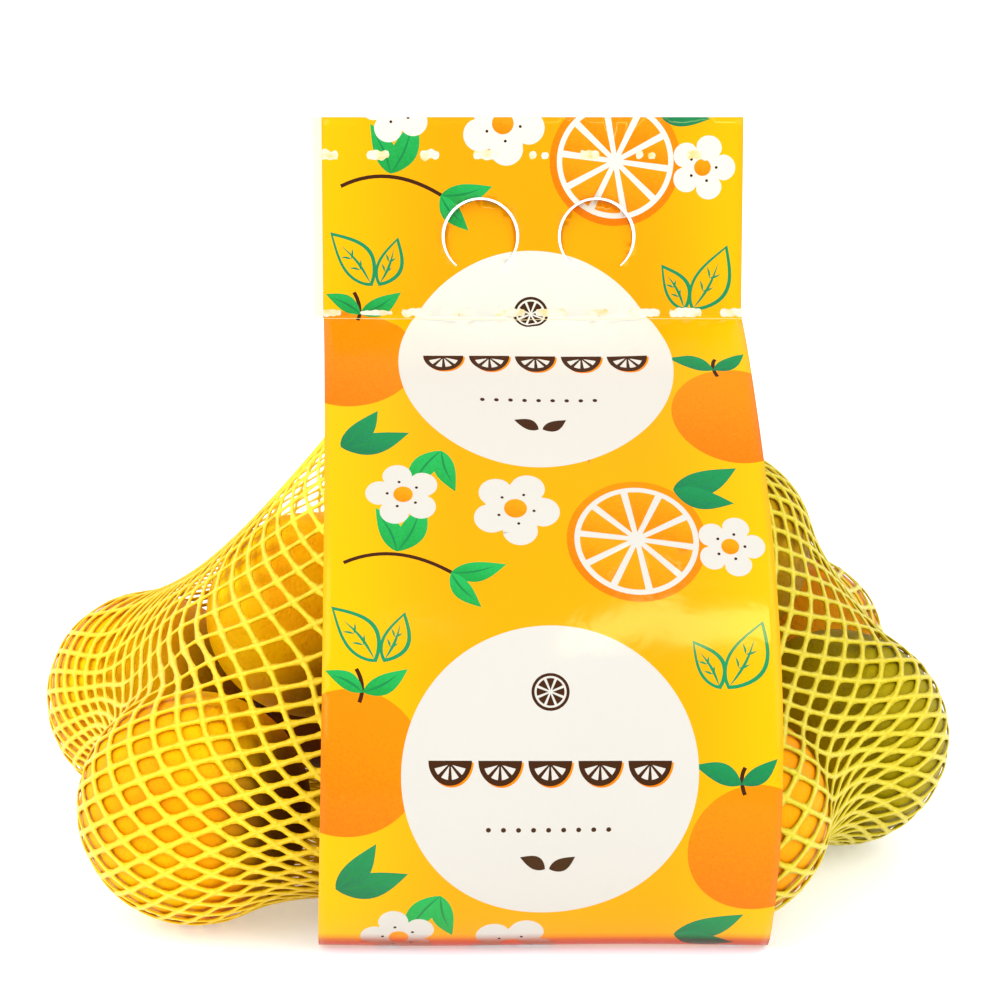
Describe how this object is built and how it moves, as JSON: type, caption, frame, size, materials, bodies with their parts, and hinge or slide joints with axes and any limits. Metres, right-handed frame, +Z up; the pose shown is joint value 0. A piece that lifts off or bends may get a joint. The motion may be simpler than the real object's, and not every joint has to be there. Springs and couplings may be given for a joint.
{
  "type": "net of oranges",
  "caption": "Standing net bag of whole oranges: a knitted net tube held between a front and a back film band, welded into a flat header with two cut-out finger handles above.",
  "frame": {"origin": "middle of the pack's bounding box, on the surface that it stands on", "axes": "+Z up towards the header, -Y towards the front film, +X along the pack's width, to the right seen from the front"},
  "size_m": [0.2996, 0.2056, 0.2356],
  "materials": {
    "knitted_net": "satin",
    "printed_film": "gloss",
    "clear_film": "gloss",
    "orange_peel": "satin",
    "stalk_scar": "matte"
  },
  "bodies": {
    "root": {"net_of_oranges": "knitted_net", "front_film": "printed_film", "back_film": "printed_film"}
  },
  "joints": []
}
